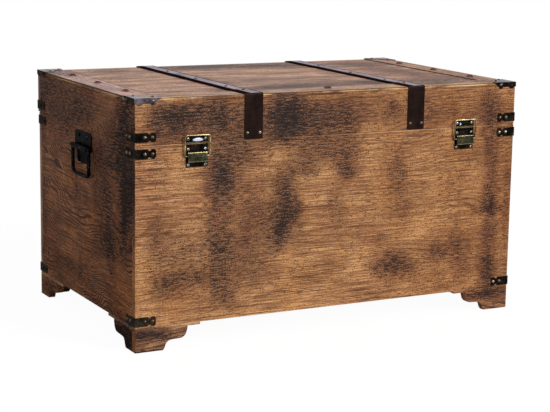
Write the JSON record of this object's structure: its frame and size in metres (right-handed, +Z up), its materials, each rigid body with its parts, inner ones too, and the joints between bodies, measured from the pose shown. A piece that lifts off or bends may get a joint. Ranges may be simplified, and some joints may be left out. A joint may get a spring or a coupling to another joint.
{
  "type": "sea chest",
  "caption": "Boarded wooden sea chest with a hinged framed lid, leather straps, iron corner trim, draw latches, drop handles and bracket feet.",
  "frame": {"origin": "on the floor, under the middle of the closed chest's bounding box", "axes": "+X along the width, to the right of someone facing the chest; +Y from the front (latches) to the back (hinges); +Z up"},
  "size_m": [0.864, 0.5334, 0.4795],
  "materials": {
    "flamed_pine": "brushed and flamed, stained tan-brown with burnt patches, satin wax",
    "stained_foot_pine": "dark stained, satin wax",
    "leather": "dark brown-black, worn satin",
    "dark_bronze": "dark bronzed plate, satin",
    "antique_brass": "antique brass, worn satin",
    "aged_bronze": "aged dark red-brown bronze, worn satin",
    "black_iron": "blackened, satin",
    "screw_steel": "plated, slightly tarnished"
  },
  "bodies": {
    "carcass": {"back_board": "flamed_pine", "back_left_foot_face": "stained_foot_pine", "back_left_foot_plate": "stained_foot_pine", "back_left_foot_side": "stained_foot_pine", "back_right_foot_face": "stained_foot_pine", "back_right_foot_plate": "stained_foot_pine", "back_right_foot_side": "stained_foot_pine", "body_nails": "aged_bronze", "body_screws": "screw_steel", "bottom_board": "flamed_pine", "front_board": "flamed_pine", "front_left_foot_face": "stained_foot_pine", "front_left_foot_plate": "stained_foot_pine", "front_left_foot_side": "stained_foot_pine", "front_right_foot_face": "stained_foot_pine", "front_right_foot_plate": "stained_foot_pine", "front_right_foot_side": "stained_foot_pine", "handle_rods": "black_iron", "hinge_body_leaves": "dark_bronze", "hinge_pins": "dark_bronze", "latch_pins": "dark_bronze", "left_handle_plate": "black_iron", "left_latch_base": "dark_bronze", "left_side_board": "flamed_pine", "lower_corner_bands": "dark_bronze", "right_handle_plate": "black_iron", "right_latch_base": "dark_bronze", "right_side_board": "flamed_pine", "upper_corner_bands": "dark_bronze"},
    "lid": {"back_left_corner_cap": "dark_bronze", "back_right_corner_cap": "dark_bronze", "front_left_corner_cap": "dark_bronze", "front_right_corner_cap": "dark_bronze", "hinge_lid_leaves": "dark_bronze", "left_latch_catch": "dark_bronze", "left_strap": "leather", "lid_back_rail": "flamed_pine", "lid_corner_bands": "dark_bronze", "lid_front_frame": "flamed_pine", "lid_front_rail": "flamed_pine", "lid_left_frame": "flamed_pine", "lid_left_rail": "flamed_pine", "lid_nails": "aged_bronze", "lid_plank_1": "flamed_pine", "lid_plank_2": "flamed_pine", "lid_plank_3": "flamed_pine", "lid_right_frame": "flamed_pine", "lid_right_rail": "flamed_pine", "lid_screws": "screw_steel", "lid_studs": "aged_bronze", "right_latch_catch": "dark_bronze", "right_strap": "leather"},
    "left_latch_lever": {"left_latch_lever": "dark_bronze"},
    "left_latch_bail": {"left_latch_bail": "antique_brass"},
    "left_handle_bail": {"left_handle_bail": "black_iron"},
    "right_latch_lever": {"right_latch_lever": "dark_bronze"},
    "right_latch_bail": {"right_latch_bail": "antique_brass"},
    "right_handle_bail": {"right_handle_bail": "black_iron"}
  },
  "joints": [
    {"name": "lid_hinge", "type": "hinge", "parent": "carcass", "child": "lid", "pos_m": [0, 0.2572, 0.38875], "axis": [-1, 0, 0], "range_deg": [0, 100]},
    {"name": "left_lever_hinge", "type": "hinge", "parent": "carcass", "child": "left_latch_lever", "pos_m": [-0.297, -0.2633, 0.3705], "axis": [-1, 0, 0], "range_deg": [0, 125]},
    {"name": "left_bail_hinge", "type": "hinge", "parent": "left_latch_lever", "child": "left_latch_bail", "pos_m": [-0.297, -0.2624, 0.3649], "axis": [-1, 0, 0], "range_deg": [-160, 0]},
    {"name": "left_handle_hinge", "type": "hinge", "parent": "carcass", "child": "left_handle_bail", "pos_m": [-0.4265, -0.0013, 0.3505], "axis": [0, 1, 0], "range_deg": [0, 95]},
    {"name": "right_lever_hinge", "type": "hinge", "parent": "carcass", "child": "right_latch_lever", "pos_m": [0.297, -0.2633, 0.3705], "axis": [-1, 0, 0], "range_deg": [0, 125]},
    {"name": "right_bail_hinge", "type": "hinge", "parent": "right_latch_lever", "child": "right_latch_bail", "pos_m": [0.297, -0.2624, 0.3649], "axis": [-1, 0, 0], "range_deg": [-160, 0]},
    {"name": "right_handle_hinge", "type": "hinge", "parent": "carcass", "child": "right_handle_bail", "pos_m": [0.4265, -0.0013, 0.3505], "axis": [0, -1, 0], "range_deg": [0, 95]}
  ],
  "couplings": [
    {"joint": "left_bail_hinge", "follows": "left_lever_hinge", "ratio": -1.25},
    {"joint": "right_bail_hinge", "follows": "right_lever_hinge", "ratio": -1.25}
  ]
}
